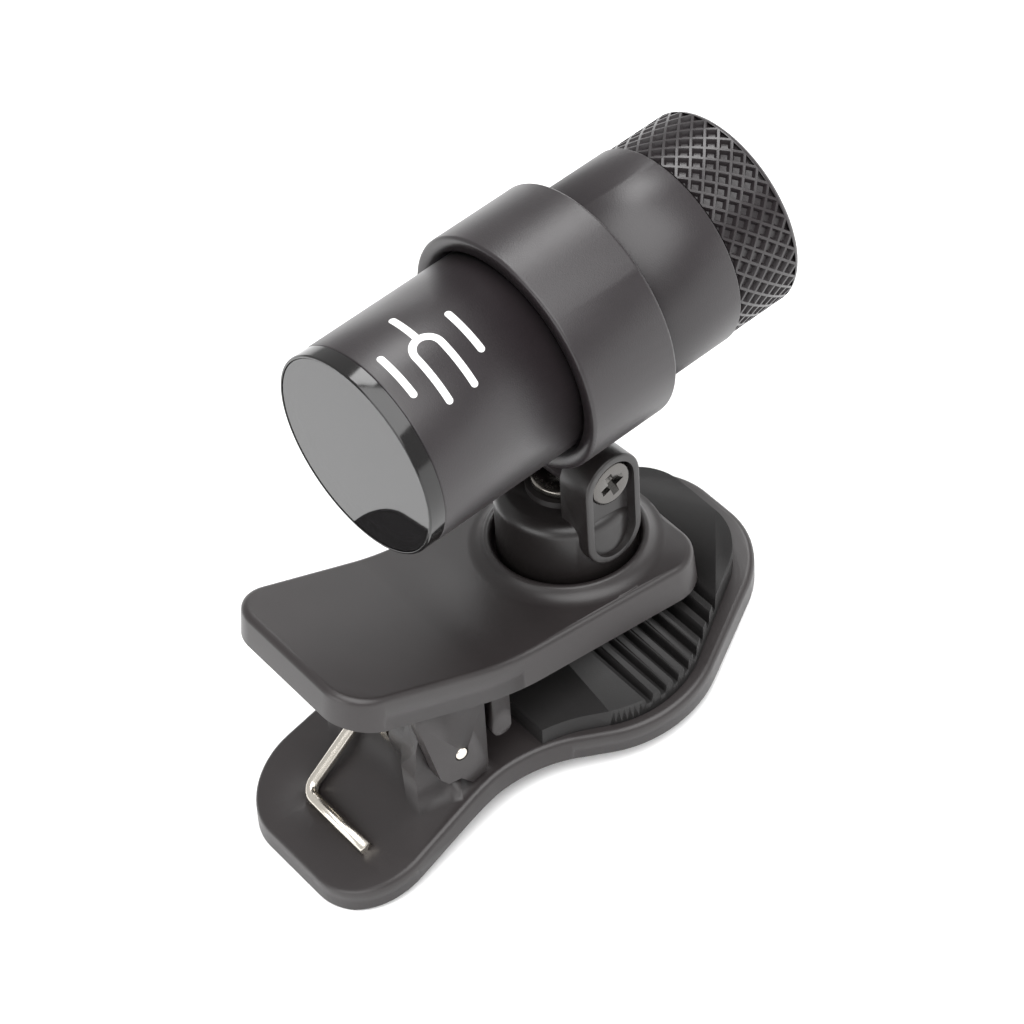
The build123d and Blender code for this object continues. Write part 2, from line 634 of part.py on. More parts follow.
def upper_strip(drop, thickness):
    tip = UPPER_TIP + OVERRUN
    end = UPPER_END - OVERRUN
    return side_band((tip, PLATE_TOP - drop), (UPPER_BEND, PLATE_TOP - drop),
                     (end, upper_top(end) - drop), thickness, UPPER_BEND_R)


def upper_sides(inset=0.0):
    """A tall block inside the lever's outline, its sides leaning out towards the bottom."""
    lean = math.tan(math.radians(SKIRT_DRAFT))
    sections = [Pos(0, 0, z) * upper_outline(inset + z * lean) for z in SIDES_FROM_TO]
    return loft(sections, ruled=True)


def upper_solid(inset, drop, thickness):
    """The bent strip between leaning sides, for the outside or the hollow of the lever."""
    return upper_sides(inset) & extrude(upper_strip(drop, thickness), REACH, both=True)


def make_ring():
    """The raised ring round the dish that the yoke turns in."""
    root = PLATE_TOP - RING_ROOT
    inner = (RING_R - RING_CREST, -RING_DROP)
    outer = (RING_R + RING_CREST, -RING_DROP)
    outline = [
        Line((DISH_R, root), (DISH_R, RING_INNER_TOP)),
        Line((DISH_R, RING_INNER_TOP), inner),
        ThreePointArc(inner, (RING_R, 0), outer),
        ThreePointArc(outer, (RING_HOLLOW_R, RING_HOLLOW_Z), (RING_FOOT_R, PLATE_TOP)),
        Line((RING_FOOT_R, PLATE_TOP), (RING_FOOT_R, root)),
        Line((RING_FOOT_R, root), (DISH_R, root)),
    ]
    return revolve(Plane.XZ * make_face(outline), Axis.Z)


def make_upper_ear():
    """The right-hand ear: a tapering tab with a notch that clears the lower lever."""
    root = upper_top(PIN_Y) - PLATE_THICK - PIN_Z
    back, front = UPPER_EAR_ROOT
    corners = [(back, root + EAR_SUNK), *UPPER_EAR_SHAPE, (front, root)]
    side = make_face(Polyline(*[(PIN_Y + y, PIN_Z + z) for y, z in corners], close=True))
    inner = UPPER_EAR_OUT - UPPER_EAR_THICK
    ear = Pos(inner, 0, 0) * extrude(Plane.YZ * side, UPPER_EAR_THICK)
    stop = block((inner, UPPER_EAR_OUT), [PIN_Y + y for y in STOP_FROM_TO],
                 (PIN_Z + STOP_BOTTOM, STOP_TOP))
    stop = fillet(stop.edges().filter_by(Axis.X).group_by(Axis.Z)[0], STOP_EDGE)
    return ear + stop


def make_upper_lever():
    body = upper_solid(0, 0, SKIRT_DEPTH)
    body = fillet(rim_edges(body, upper_top), UPPER_EDGE)
    body -= upper_solid(SKIRT_WALL, PLATE_THICK, SKIRT_DEPTH + PAST)
    plate_bottom = PLATE_TOP - PLATE_THICK
    body += make_ring() + disc(POST_R, POST_END, plate_bottom + MERGE)
    body -= disc(DISH_R, DISH_FLOOR, PAST)
    body -= disc(SWIVEL_SHANK_R + FIT_GAP, POST_END - PAST, PAST)
    pocket = extrude(RegularPolygon(SWIVEL_NUT_FLATS / 2 + FIT_GAP, 6, major_radius=False),
                     SWIVEL_NUT_THICK)
    body -= Pos(0, 0, POST_END) * pocket
    ear = make_upper_ear()
    body += ear + mirror(ear, Plane.YZ)
    end = UPPER_EAR_OUT + PAST
    return body - rod_x(PIN_R + PIN_RUN_GAP, -end, end, PIN_Y, PIN_Z)


def make_upper_pad():
    """Rubber pad held inside the skirt of the upper jaw, ribbed across."""
    inset = SKIRT_WALL + UPPER_PAD_GAP
    top = PLATE_TOP - PLATE_THICK
    across = (-UPPER_HALF_JAW - PAST, UPPER_HALF_JAW + PAST)
    pad = upper_sides(inset) & block(across, (UPPER_PAD_REAR, UPPER_TIP), (UPPER_PAD_FACE, top))
    pad = fillet(pad.edges().group_by(Axis.Z)[0], UPPER_PAD_EDGE)
    pad -= disc(POST_R + UPPER_PAD_GAP, POST_END - UPPER_PAD_GAP, top + PAST)
    groove = block(across, (-RIB_PITCH / 4, RIB_PITCH / 4),
                   (UPPER_PAD_FACE - PAST, UPPER_PAD_FACE + UPPER_RIB_DEPTH))
    first = UPPER_TIP - inset - UPPER_RIB_START
    for number in range(RIB_COUNT):
        pad -= Pos(0, first - number * RIB_PITCH, 0) * groove
    return pad


LOWER_EAR_OUT = UPPER_EAR_OUT - UPPER_EAR_THICK - EAR_SIDE_GAP
LOWER_EAR_IN = LOWER_EAR_OUT - LOWER_EAR_THICK


def lower_outline(tip_inset=0.0, side_inset=0.0):
    return rounded_outline([
        (LOWER_TIP_HALF - side_inset * TIP_SIDE_SHARE, LOWER_TIP - tip_inset, LOWER_TIP_CORNER - tip_inset),
        (LOWER_WIDE_HALF - side_inset, LOWER_WIDE_Y, LOWER_WIDE_CORNER - side_inset),
        (LOWER_WAIST_HALF, LOWER_WAIST_Y + side_inset, LOWER_WAIST_CORNER),
        (LOWER_END_HALF, LOWER_END, LOWER_END_CORNER),
    ])


def make_lower_ear():
    """The right-hand ear of the lower lever, with the gusset that the upper ear clears."""
    foot_z = lower_top(PIN_Y) - EAR_SUNK
    back, front = LOWER_EAR_ROOT
    low = foot_z - PIN_Z
    corners = [(back, low - ROOT_SLANT), *LOWER_EAR_SHAPE, (front, low + EAR_SUNK)]
    side = make_face(Polyline(*[(PIN_Y + y, PIN_Z + z) for y, z in corners], close=True))
    ear = Pos(LOWER_EAR_IN, 0, 0) * extrude(Plane.YZ * side, LOWER_EAR_THICK)
    ear = fillet(ear.edges().filter_by(Axis.X).group_by(Axis.Z)[-1], LOWER_EAR_EDGE)
    gusset = block((LOWER_EAR_OUT - GUSSET_SUNK, GUSSET_OUT), [PIN_Y + y for y in GUSSET_FROM_TO],
                   (foot_z, GUSSET_TOP))
    return ear + gusset


def table():
    """The plane that the lever would stand on, through its tip and its handle end."""
    front, back = [Vector(0, y, lower_top(y) - LOWER_THICK) for y in (LOWER_TIP, LOWER_END)]
    return Plane(origin=back, x_dir=(1, 0, 0), z_dir=Vector(1, 0, 0).cross(front - back))


def make_lower_lever():
    tip = LOWER_TIP + OVERRUN
    end = LOWER_END - OVERRUN
    strip = side_band((tip, lower_top(tip)), (LOWER_BEND, LOWER_BEND_Z), (end, lower_top(end)),
                      LOWER_THICK, LOWER_BEND_R)
    body = extrude(lower_outline(), REACH, both=True) & extrude(strip, REACH, both=True)
    body = fillet(rim_edges(body, lower_top), LOWER_EDGE)
    body -= table().location * Pos(0, 0, LANDING - REACH / 2) * Box(2 * REACH, 4 * REACH, REACH)
    ear = make_lower_ear()
    body += ear + mirror(ear, Plane.YZ)
    body += rod_x(BOSS_R, BOSS_FROM, LOWER_EAR_IN + MERGE, PIN_Y, PIN_Z)
    body -= rod_x(PIN_R + PIN_PRESS_GAP, -UPPER_EAR_OUT, UPPER_EAR_OUT, PIN_Y, PIN_Z)
    return body - spring_leg(lower_leg_path(), WIRE_R + POCKET_GAP)


def make_lower_pad():
    """Rubber pad on the lower jaw: flat at the hinge side, ribbed, and raised at the tip."""
    def lifted(y, height):
        return (y, lower_top(y) + height)

    top = [lifted(PAD_REAR, PAD_FLAT), lifted(RIB_START, PAD_FLAT)]
    for number in range(RIB_COUNT):
        start = RIB_START + number * RIB_PITCH
        crest = PAD_FLAT + (PAD_TIP_HEIGHT - PAD_FLAT) * (number + 1) / RIB_COUNT
        down, along, up = [start + RIB_PITCH * share for share in RIB_GROOVE]
        top += [lifted(down, PAD_FLAT - RIB_DEPTH), lifted(along, PAD_FLAT - RIB_DEPTH),
                lifted(up, crest), lifted(start + RIB_PITCH, crest)]
    top.append(lifted(LOWER_TIP, PAD_TIP_HEIGHT))
    side = make_face(Polyline(*top, lifted(LOWER_TIP, 0), lifted(PAD_REAR, 0), close=True))
    outline = lower_outline(PAD_TIP_MARGIN, PAD_MARGIN)
    return extrude(outline, REACH, both=True) & extrude(Plane.YZ * side, REACH, both=True)


# ================================================================ hinge and spring
def make_hinge_pin():
    end = UPPER_EAR_OUT + PIN_PROUD
    pin = rod_x(PIN_R, -end, end, PIN_Y, PIN_Z)
    return fillet(pin.edges().filter_by(GeomType.CIRCLE), PIN_EDGE)


def make_spring_bush():
    """Plastic sleeve on the pin, inside the coil."""
    left = -LOWER_EAR_IN + RUN_GAP
    right = BOSS_FROM - RUN_GAP
    return (rod_x(BUSH_R, left, right, PIN_Y, PIN_Z)
            - rod_x(PIN_R + FIT_GAP, left - PAST, right + PAST, PIN_Y, PIN_Z))


def coil_path():
    """The helix of the coil, from its left end at the bottom round to the upper leg."""
    start = Plane(origin=(COIL_LEFT, PIN_Y, PIN_Z), x_dir=(0, 0, -1), z_dir=(1, 0, 0))
    return start.location * Helix(COIL_PITCH, COIL_PITCH * COIL_TURNS, COIL_R)


def lower_leg_path():
    """From the coil back and down to the lower handle, then across it in its pocket."""
    coil = coil_path()
    out = -(coil % 0)
    y = PIN_Y - LEG_REACH
    lean = math.sqrt(1 + LOWER_HANDLE_SLOPE ** 2)
    z = lower_top(y) + WIRE_R * lean - LEG_SUNK
    first = coil @ 0
    return FilletPolyline(first, first + out * LEG_STRAIGHT, (COIL_LEFT, y, z), (LEG_RIGHT, y, z),
                          radius=LEG_BEND_R)


def upper_leg_path():
    """From the coil back and up to the underside of the upper handle, then across it."""
    coil = coil_path()
    out = coil % 1
    first = coil @ 1
    y = PIN_Y - LEG_REACH
    lean = math.sqrt(1 + UPPER_SLOPE ** 2)
    z = upper_top(y) - (PLATE_THICK + WIRE_R) * lean - LEG_CLEAR
    side = first.X + out.X * (y - first.Y) / out.Y
    return FilletPolyline(first, first + out * LEG_STRAIGHT, (side, y, z), (side - LEG_UPPER_CROSS, y, z),
                          radius=LEG_BEND_R)


def spring_leg(path, radius):
    """A round bar swept along one leg of the spring."""
    return sweep(Plane(origin=path @ 0, z_dir=path % 0) * Circle(radius), path)


def make_torsion_spring():
    """Coil round the bush; one end lies across the lower handle, the other lifts the upper."""
    coil = spring_leg(coil_path(), WIRE_R)
    return coil + spring_leg(lower_leg_path(), WIRE_R) + spring_leg(upper_leg_path(), WIRE_R)


# ================================================================ assembly
HEAD = Rot(0, 0, SWIVEL_AT_REST)
BARREL = (HEAD * Pos(0, 0, TILT_AXIS_Z) * Rot(TILT_AT_REST - 90, 0, 0)
          * Pos(0, -BARREL_RISE, -FRONT_TUBE_END))
CLIP = Pos(0, 0, 0)

PIECES = {
    "bezel_ring": (make_bezel_ring, BARREL),
    "display_window": (make_display_window, BARREL),
    "window_seal": (make_window_seal, BARREL),
    "lcd_frame": (make_lcd_frame, BARREL),
    "lcd_panel": (make_lcd_panel, BARREL),
    "backlight": (make_backlight, BARREL),
    "zebra_strips": (make_zebra_strips, BARREL),
    "main_board": (make_main_board, BARREL),
    "board_chips": (make_board_chips, BARREL),
    "inner_chassis": (make_inner_chassis, BARREL),
    "piezo_sensor": (make_piezo_sensor, BARREL),
    "coin_cell": (make_coin_cell, BARREL),
    "minus_contact": (make_minus_contact, BARREL),
    "plus_contact": (make_plus_contact, BARREL),
    "front_tube": (make_front_tube, BARREL),
    "rear_tube": (make_rear_tube, BARREL),
    "knurled_cap": (make_knurled_cap, BARREL),
    "o_ring": (make_o_ring, BARREL),
    "switch_ring": (make_switch_ring, BARREL),
    "cell_pressure_pad": (make_cell_pressure_pad, BARREL),
    "tilt_collar": (make_tilt_collar, BARREL),
    "swivel_yoke": (make_swivel_yoke, HEAD),
    "tilt_screw": (make_tilt_screw, HEAD),
    "tilt_nut": (make_tilt_nut, HEAD),
    "tilt_washers": (make_tilt_washers, HEAD),
    "swivel_screw": (make_swivel_screw, CLIP),
    "swivel_nut": (make_swivel_nut, CLIP),
    "upper_lever": (make_upper_lever, CLIP),
    "upper_pad": (make_upper_pad, CLIP),
    "lower_lever": (make_lower_lever, CLIP),
    "lower_pad": (make_lower_pad, CLIP),
    "hinge_pin": (make_hinge_pin, CLIP),
    "spring_bush": (make_spring_bush, CLIP),
    "torsion_spring": (make_torsion_spring, CLIP),
}


def placed_solids(make, placing):
    shape = make()
    pieces = shape if isinstance(shape, list) else [shape]
    return [placing * solid for piece in pieces for solid in piece.solids()]


def standing(solids):
    """Tip the clip so the lower lever rests on its two ends, centred over the origin."""
    normal = table().z_dir
    tip = Rot(-math.degrees(math.atan2(-normal.Y, normal.Z)), 0, 0)
    box = Compound(children=[tip * solid for solid in solids]).bounding_box()
    return Pos(-(box.min.X + box.max.X) / 2, -(box.min.Y + box.max.Y) / 2, -box.min.Z) * tip


nodes = {name: placed_solids(make, placing) for name, (make, placing) in PIECES.items()}
STAND = standing([solid for solids in nodes.values() for solid in solids])
os.makedirs("parts", exist_ok=True)
for name, solids in nodes.items():
    standing_solids = [STAND * solid for solid in solids]
    whole = standing_solids[0] if len(solids) == 1 else Compound(children=standing_solids)
    export_step(whole, f"parts/{name}.step")
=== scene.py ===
"""A clip-on tuner: spring clip, swivelling yoke, split collar, display barrel and knurled end.

Metres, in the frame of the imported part.  The sections follow the object as it is put
together, from the lower lever of the clip up to the knurled end of the barrel.
"""
import json
import math

import bmesh
import bpy
from mathutils import Euler, Matrix, Vector


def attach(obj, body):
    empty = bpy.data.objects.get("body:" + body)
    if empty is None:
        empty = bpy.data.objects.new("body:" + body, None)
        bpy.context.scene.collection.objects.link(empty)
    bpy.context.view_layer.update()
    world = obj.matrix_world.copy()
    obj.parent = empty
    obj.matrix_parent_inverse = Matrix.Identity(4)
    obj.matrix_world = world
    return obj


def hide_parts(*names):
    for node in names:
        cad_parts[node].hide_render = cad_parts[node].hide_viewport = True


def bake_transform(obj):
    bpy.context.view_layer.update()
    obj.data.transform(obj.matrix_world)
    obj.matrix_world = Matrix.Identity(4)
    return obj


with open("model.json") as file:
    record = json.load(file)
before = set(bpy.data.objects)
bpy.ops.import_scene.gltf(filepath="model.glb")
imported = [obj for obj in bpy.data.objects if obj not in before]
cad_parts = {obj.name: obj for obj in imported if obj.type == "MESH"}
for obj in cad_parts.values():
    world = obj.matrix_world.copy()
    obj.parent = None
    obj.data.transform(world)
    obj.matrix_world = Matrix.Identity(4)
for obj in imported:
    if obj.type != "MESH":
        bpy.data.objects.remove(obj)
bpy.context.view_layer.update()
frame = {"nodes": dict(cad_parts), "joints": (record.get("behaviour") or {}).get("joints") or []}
scene = bpy.context.scene

# ---------------------------------------------------------------- camera
# A long lens looks down on the right-hand side of the clip from the display end, so the
# display, the collar and the ribbed lower jaw all show.
camera_data = bpy.data.cameras.new("camera")
camera_data.sensor_width = 36.0
camera_data.lens = 151.17
camera_data.clip_start = 0.01
camera = bpy.data.objects.new("camera", camera_data)
camera.location = (0.28813, -0.10226, 0.38509)
camera.rotation_euler = Euler([math.radians(turn) for turn in (37.736, 15.457, 51.376)])
scene.collection.objects.link(camera)
scene.camera = camera

# ---------------------------------------------------------------- studio
# A pale floor just under the clip and a white sky.  A wide soft box hangs overhead, a small
# one behind picks out the edges, and the display window mirrors the third.
FLOOR_HALF = 6.0
FLOOR_DROP = 0.0002
floor_mesh = bpy.data.meshes.new("studio_floor")
corners = [(x * FLOOR_HALF, y * FLOOR_HALF, -FLOOR_DROP) for x, y in ((-1, -1), (1, -1), (1, 1), (-1, 1))]
floor_mesh.from_pydata(corners, [], [(0, 1, 2, 3)])
floor = bpy.data.objects.new("studio_floor", floor_mesh)
scene.collection.objects.link(floor)
floor_paint = bpy.data.materials.new("studio_floor")
floor_paint.use_nodes = True
floor_shader = floor_paint.node_tree.nodes["Principled BSDF"]
floor_shader.inputs["Base Color"].default_value = (0.93, 0.93, 0.93, 1)
floor_shader.inputs["Roughness"].default_value = 0.9
floor_mesh.materials.append(floor_paint)

world = bpy.data.worlds.new("studio_sky")
world.use_nodes = True
sky = world.node_tree.nodes["Background"]
sky.inputs["Color"].default_value = (1.0, 1.0, 1.0, 1)
sky.inputs["Strength"].default_value = 0.62
scene.world = world
scene.view_settings.view_transform = "Standard"


def soft_box(name, place, aim, width, height, power):
    """A rectangular soft light at a place, turned to face a point."""
    lamp = bpy.data.lights.new(name, "AREA")
    lamp.shape = "RECTANGLE"
    lamp.size = width
    lamp.size_y = height
    lamp.energy = power
    box = bpy.data.objects.new(name, lamp)
    box.location = place
    box.rotation_euler = (Vector(aim) - Vector(place)).to_track_quat("-Z", "Y").to_euler()
    scene.collection.objects.link(box)


soft_box("overhead_light", place=(0.35, 0.15, 0.85), aim=(0, 0, 0.03), width=1.1, height=1.1, power=15.0)
soft_box("back_light", place=(-0.30, 0.52, 0.62), aim=(0, 0.01, 0.04), width=0.30, height=0.45, power=3.5)
soft_box("side_light", place=(0.15, -0.95, 0.40), aim=(0, 0, 0.04), width=0.8, height=0.6, power=5.0)

# ---------------------------------------------------------------- lower lever
# The long lower half of the clip: one piece of black nylon, injection moulded with a fine
# spark-eroded grain, with two ears for the hinge pin and a pocket for the spring's end.


class Wire:
    """A node's output that sums and products can be written with."""

    def __init__(self, tree, socket=None):
        self.tree = tree
        self.socket = socket

    def node(self, kind, sockets=None, out=0, **settings):
        """A new node in this tree: its settings first, then the values or wires of its sockets."""
        made = self.tree.nodes.new(kind)
        for name, value in settings.items():
            setattr(made, name, value)
        for name, value in (sockets or {}).items():
            if isinstance(value, Wire):
                self.tree.links.new(value.socket, made.inputs[name])
            else:
                made.inputs[name].default_value = value
        return Wire(self.tree, made.outputs[out] if len(made.outputs) else None)

    def maths(self, operation, *values):
        """A Math node on numbers and wires."""
        return self.node("ShaderNodeMath", dict(enumerate(values)), operation=operation)

    def __add__(self, other):
        return self.maths("ADD", self, other)

    def __radd__(self, other):
        return self.maths("ADD", other, self)

    def __sub__(self, other):
        return self.maths("SUBTRACT", self, other)

    def __rsub__(self, other):
        return self.maths("SUBTRACT", other, self)

    def __mul__(self, other):
        return self.maths("MULTIPLY", self, other)

    def __rmul__(self, other):
        return self.maths("MULTIPLY", other, self)

    def __truediv__(self, other):
        return self.maths("DIVIDE", self, other)

    def __rtruediv__(self, other):
        return self.maths("DIVIDE", other, self)


def start_material(name):
    """A new material, as its wire to draw on, the object's own coordinates and its shader."""
    material = bpy.data.materials.new(name)
    material.use_nodes = True
    draw = Wire(material.node_tree)
    place = draw.node("ShaderNodeTexCoord", out="Object")
    return material, draw, place, material.node_tree.nodes["Principled BSDF"]


def feed(shader, socket, wire):
    """Join a wire to one of the shader's sockets."""
    wire.tree.links.new(wire.socket, shader.inputs[socket])


def noise(place, size, detail=2.0):
    """Soft random speckle whose blotches are about that many metres across."""
    return place.node("ShaderNodeTexNoise", {"Vector": place, "Scale": 1 / size, "Detail": detail})


def tint(amount, low, high):
    """A colour between two, each a colour or a wire, as an amount from 0 to 1 says."""
    low, high = (end if isinstance(end, Wire) else (*end, 1) for end in (low, high))
    return amount.node("ShaderNodeMix", {"Factor": amount, 6: low, 7: high}, out=2, data_type="RGBA")


def relief(height, depth):
    """Surface detail: a height from 0 to 1, raised by a depth in metres."""
    return height.node("ShaderNodeBump", {"Height": height, "Distance": depth, "Strength": 1.0})


CLOUD_SIZE = 0.006
FINE_GLOSS = 0.08
SHADE = 0.25
PRINT_WHITE = (0.86, 0.86, 0.85)


def moulded_plastic(name, colour, roughness, grain, depth, gloss_change=0.06, mark=None):
    """Injection-moulded plastic: an eroded grain, and a sheen that varies a little.

    A mark draws how much white print covers each place, from 0 to 1, on the object's coordinates.
    """
    material, draw, place, shader = start_material(name)
    cells = draw.node("ShaderNodeTexVoronoi", {"Vector": place, "Scale": 1 / grain, "Smoothness": 0.6},
                      feature="SMOOTH_F1")
    fine = noise(place, grain * 0.45)
    cloud = noise(place, CLOUD_SIZE, 4.0)
    height = cells * 0.7 + fine * 0.5
    base = tint(cloud * 0.6 + fine * 0.4,
                [c * (1 - SHADE) for c in colour], [c * (1 + SHADE) for c in colour])
    if mark:
        ink = mark(place)
        height = height * (1 - ink * 0.5)
        base = tint(ink, base, PRINT_WHITE)
    feed(shader, "Normal", relief(height, depth))
    feed(shader, "Roughness", roughness + (cloud - 0.5) * gloss_change + (fine - 0.5) * FINE_GLOSS)
    feed(shader, "Base Color", base)
    return material


def settled(piece):
    """The piece's mesh with its modifiers worked in; the modifiers are taken off."""
    mesh = bpy.data.meshes.new_from_object(piece.evaluated_get(bpy.context.evaluated_depsgraph_get()))
    piece.modifiers.clear()
    return mesh


def stand_in(piece, node, body):
    """Put the piece in the place of a CAD piece: on its body, if it rides on only one, with the CAD piece
    hidden.
    """
    if body:
        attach(piece, body)
    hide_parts(node)


CREASE = math.radians(35)
FLAT = math.radians(0.5)
WELD = 1e-6


def skin(node, body, material, edge=0.0, name=None, keep=None):
    """A welded, smooth-shaded copy of a CAD piece, or of the faces whose middles pass a test.

    Its sharp edges are eased by the edge width.
    """
    mesh = frame["nodes"][node].data.copy()
    work = bmesh.new()
    work.from_mesh(mesh)
    bmesh.ops.remove_doubles(work, verts=work.verts, dist=WELD)
    if edge:
        bmesh.ops.dissolve_limit(work, angle_limit=FLAT, verts=work.verts, edges=work.edges)
    if keep:
        left = [face for face in work.faces if not keep(face.calc_center_median())]
        bmesh.ops.delete(work, geom=left, context="FACES")
    work.to_mesh(mesh)
    work.free()
    mesh.materials.clear()
    piece = bpy.data.objects.new(name or node + "_moulding", mesh)
    scene.collection.objects.link(piece)
    if edge:
        ease = piece.modifiers.new("eased_edges", "BEVEL")
        ease.width = edge
        ease.segments = 2
        ease.limit_method = "ANGLE"
        ease.angle_limit = CREASE
        ease.use_clamp_overlap = True
        piece.data = settled(piece)
    piece.data.materials.append(material)
    piece.data.shade_smooth()
    piece.data.set_sharp_from_angle(angle=CREASE)
    stand_in(piece, node, body)
    return piece


LEVER_BLACK = (0.0195, 0.0162, 0.0163)
lever_plastic = moulded_plastic("lever_nylon", LEVER_BLACK, roughness=0.40, grain=0.00016, depth=0.000006)
skin("lower_lever", "lower", lever_plastic)

# ---------------------------------------------------------------- lower jaw pad
# A slab of black silicone rubber glued to the lower jaw, moulded with cross ribs that bite
# on the back of a headstock.
PAD_BLACK = (0.0055, 0.0047, 0.0047)
pad_rubber = moulded_plastic("jaw_rubber", PAD_BLACK, roughness=0.62, grain=0.00018, depth=0.000008,
                             gloss_change=0.10)
skin("lower_pad", "lower", pad_rubber)

# ---------------------------------------------------------------- hinge pin, bush and spring
# A nickel-plated steel pin through the four ears carries a plastic bush, and round the bush
# sits the spring: hard-drawn wire, wound close, nickel plated and bent over at both ends.


def bare_metal(name, colour, roughness, streak):
    """Plated or polished metal with drawing marks as deep as the streak."""
    material, _, place, shader = start_material(name)
    shader.inputs["Metallic"].default_value = 1.0
    marks = noise(place, 0.0003, 3.0)
    cloud = noise(place, 0.002)
    feed(shader, "Roughness", roughness + (cloud - 0.5) * 0.10 + (marks - 0.5) * 0.06)
    feed(shader, "Base Color", tint(cloud, [c * 0.88 for c in colour], colour))
    feed(shader, "Normal", relief(marks, streak))
    return material


def joint(name):
    """One joint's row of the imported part."""
    return next(row for row in frame["joints"] if row["name"] == name)


nickel = bare_metal("nickel_plate", (0.82, 0.77, 0.69), roughness=0.24, streak=0.000003)
grey_plastic = moulded_plastic("grey_acetal", (0.09, 0.09, 0.094), roughness=0.5, grain=0.0003,
                               depth=0.000005)
skin("hinge_pin", "lower", nickel)
skin("spring_bush", "lower", grey_plastic)
hinge = Vector(joint("clip_pivot")["pos_m"])
COIL_OUTSIDE = 0.00475


def off_axis(point):
    """How far a point is from the hinge axis."""
    return math.hypot(point.y - hinge.y, point.z - hinge.z)


skin("torsion_spring", "lower", nickel, name="spring_lower_leg",
     keep=lambda middle: off_axis(middle) > COIL_OUTSIDE and middle.z < hinge.z)
skin("torsion_spring", "upper", nickel, name="spring_upper_leg",
     keep=lambda middle: off_axis(middle) > COIL_OUTSIDE and middle.z > hinge.z)
coil = skin("torsion_spring", None, nickel, name="spring_coil",
            keep=lambda middle: off_axis(middle) <= COIL_OUTSIDE)
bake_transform(coil)

# ---------------------------------------------------------------- upper lever and its pad
# The upper half of the clip, moulded in the same nylon as the lower one, with a raised ring
# for the yoke; its rubber pad is glued in under the jaw.
skin("upper_lever", "upper", lever_plastic)
skin("upper_pad", "upper", pad_rubber)

# ---------------------------------------------------------------- swivel screw and nut
# A shouldered, plated steel screw runs down through the yoke and the lever's post into a
# hexagon nut let into the post, so that the yoke can turn.
SCREW_EASE = 0.00006
NUT_EASE = 0.00008
dark_nickel = bare_metal("dark_nickel", (0.24, 0.225, 0.205), roughness=0.26, streak=0.000003)
skin("swivel_screw", "upper", dark_nickel, edge=SCREW_EASE)
skin("swivel_nut", "upper", nickel, edge=NUT_EASE)

# ---------------------------------------------------------------- yoke and tilt joint
# The yoke is moulded acetal with a round foot and two cheeks.  A blackened cross-head screw
# and a nut squeeze the cheeks and two washers on the collar's lug.
YOKE_BLACK = (0.0110, 0.0092, 0.0090)
YOKE_EASE = 0.00012
yoke_plastic = moulded_plastic("yoke_acetal", YOKE_BLACK, roughness=0.36, grain=0.00016, depth=0.000004)
screw_steel = bare_metal("blackened_steel", (0.12, 0.115, 0.11), roughness=0.22, streak=0.000002)
skin("swivel_yoke", "yoke", yoke_plastic, edge=YOKE_EASE)
skin("tilt_screw", "yoke", screw_steel, edge=SCREW_EASE)
skin("tilt_nut", "yoke", screw_steel, edge=NUT_EASE)
skin("tilt_washers", "yoke", grey_plastic)

# ---------------------------------------------------------------- collar
# A plain round collar of the grained black plastic, moulded in one with its lug; an inner
# rib runs in the groove between the two tubes.
TUBE_FINISH = dict(colour=(0.0150, 0.0118, 0.0132), roughness=0.38, grain=0.00017, depth=0.000013,
                   gloss_change=0.10)
tube_plastic = moulded_plastic("grained_plastic", **TUBE_FINISH)
skin("tilt_collar", "collar", tube_plastic)

# ---------------------------------------------------------------- inside of the barrel
# Display, light guide, rubber connectors, circuit board, vibration sensor and coin cell,
# all clipped to one moulded carrier that slides into the tubes.
board_green = moulded_plastic("solder_mask", (0.012, 0.11, 0.045), roughness=0.35, grain=0.0006,
                              depth=0.000004)
chip_resin = moulded_plastic("chip_resin", (0.022, 0.022, 0.024), roughness=0.55, grain=0.0002,
                             depth=0.000004)
milky_plastic = moulded_plastic("light_guide", (0.80, 0.81, 0.82), roughness=0.35, grain=0.0008,
                                depth=0.000002)
lcd_glass = moulded_plastic("display_glass", (0.045, 0.050, 0.050), roughness=0.12, grain=0.002,
                            depth=0.000001)
sensor_brass = bare_metal("sensor_brass", (0.80, 0.60, 0.27), roughness=0.30, streak=0.000003)
cell_steel = bare_metal("cell_steel", (0.60, 0.60, 0.61), roughness=0.27, streak=0.000004)
for node, finish, slot in (
        ("inner_chassis", grey_plastic, "grey_plastic"), ("lcd_frame", grey_plastic, "grey_plastic"),
        ("lcd_panel", lcd_glass, "display_glass"), ("backlight", milky_plastic, "white_plastic"),
        ("zebra_strips", pad_rubber, "black_rubber"), ("main_board", board_green, "circuit_board"),
        ("board_chips", chip_resin, "chip_black"), ("piezo_sensor", sensor_brass, "brass"),
        ("coin_cell", cell_steel, "cell_steel"), ("plus_contact", nickel, "nickel"),
        ("minus_contact", nickel, "nickel"), ("window_seal", pad_rubber, "black_rubber")):
    skin(node, "barrel", finish)

# ---------------------------------------------------------------- tubes
# Two moulded tubes meet inside the collar.  The front one carries a pad-printed white mark,
# a tuning fork between two short bars.
barrel_axis = Vector(joint("barrel_roll")["axis"]).normalized()
barrel_point = Vector(joint("barrel_roll")["pos_m"])
across = (Vector((1, 0, 0)) - barrel_axis * barrel_axis.x).normalized()
upward = across.cross(barrel_axis)


def off_barrel(corner):
    """How far along the barrel's axis a corner of a mesh is, and how far from the axis."""
    row = corner.co - barrel_point
    along = row.dot(barrel_axis)
    return along, (row - barrel_axis * along).length


def reach(node):
    """Where a turned piece starts and ends along the barrel's axis, and its outer radius."""
    spans, radii = zip(*(off_barrel(corner) for corner in frame["nodes"][node].data.vertices))
    return min(spans), max(spans), max(radii)


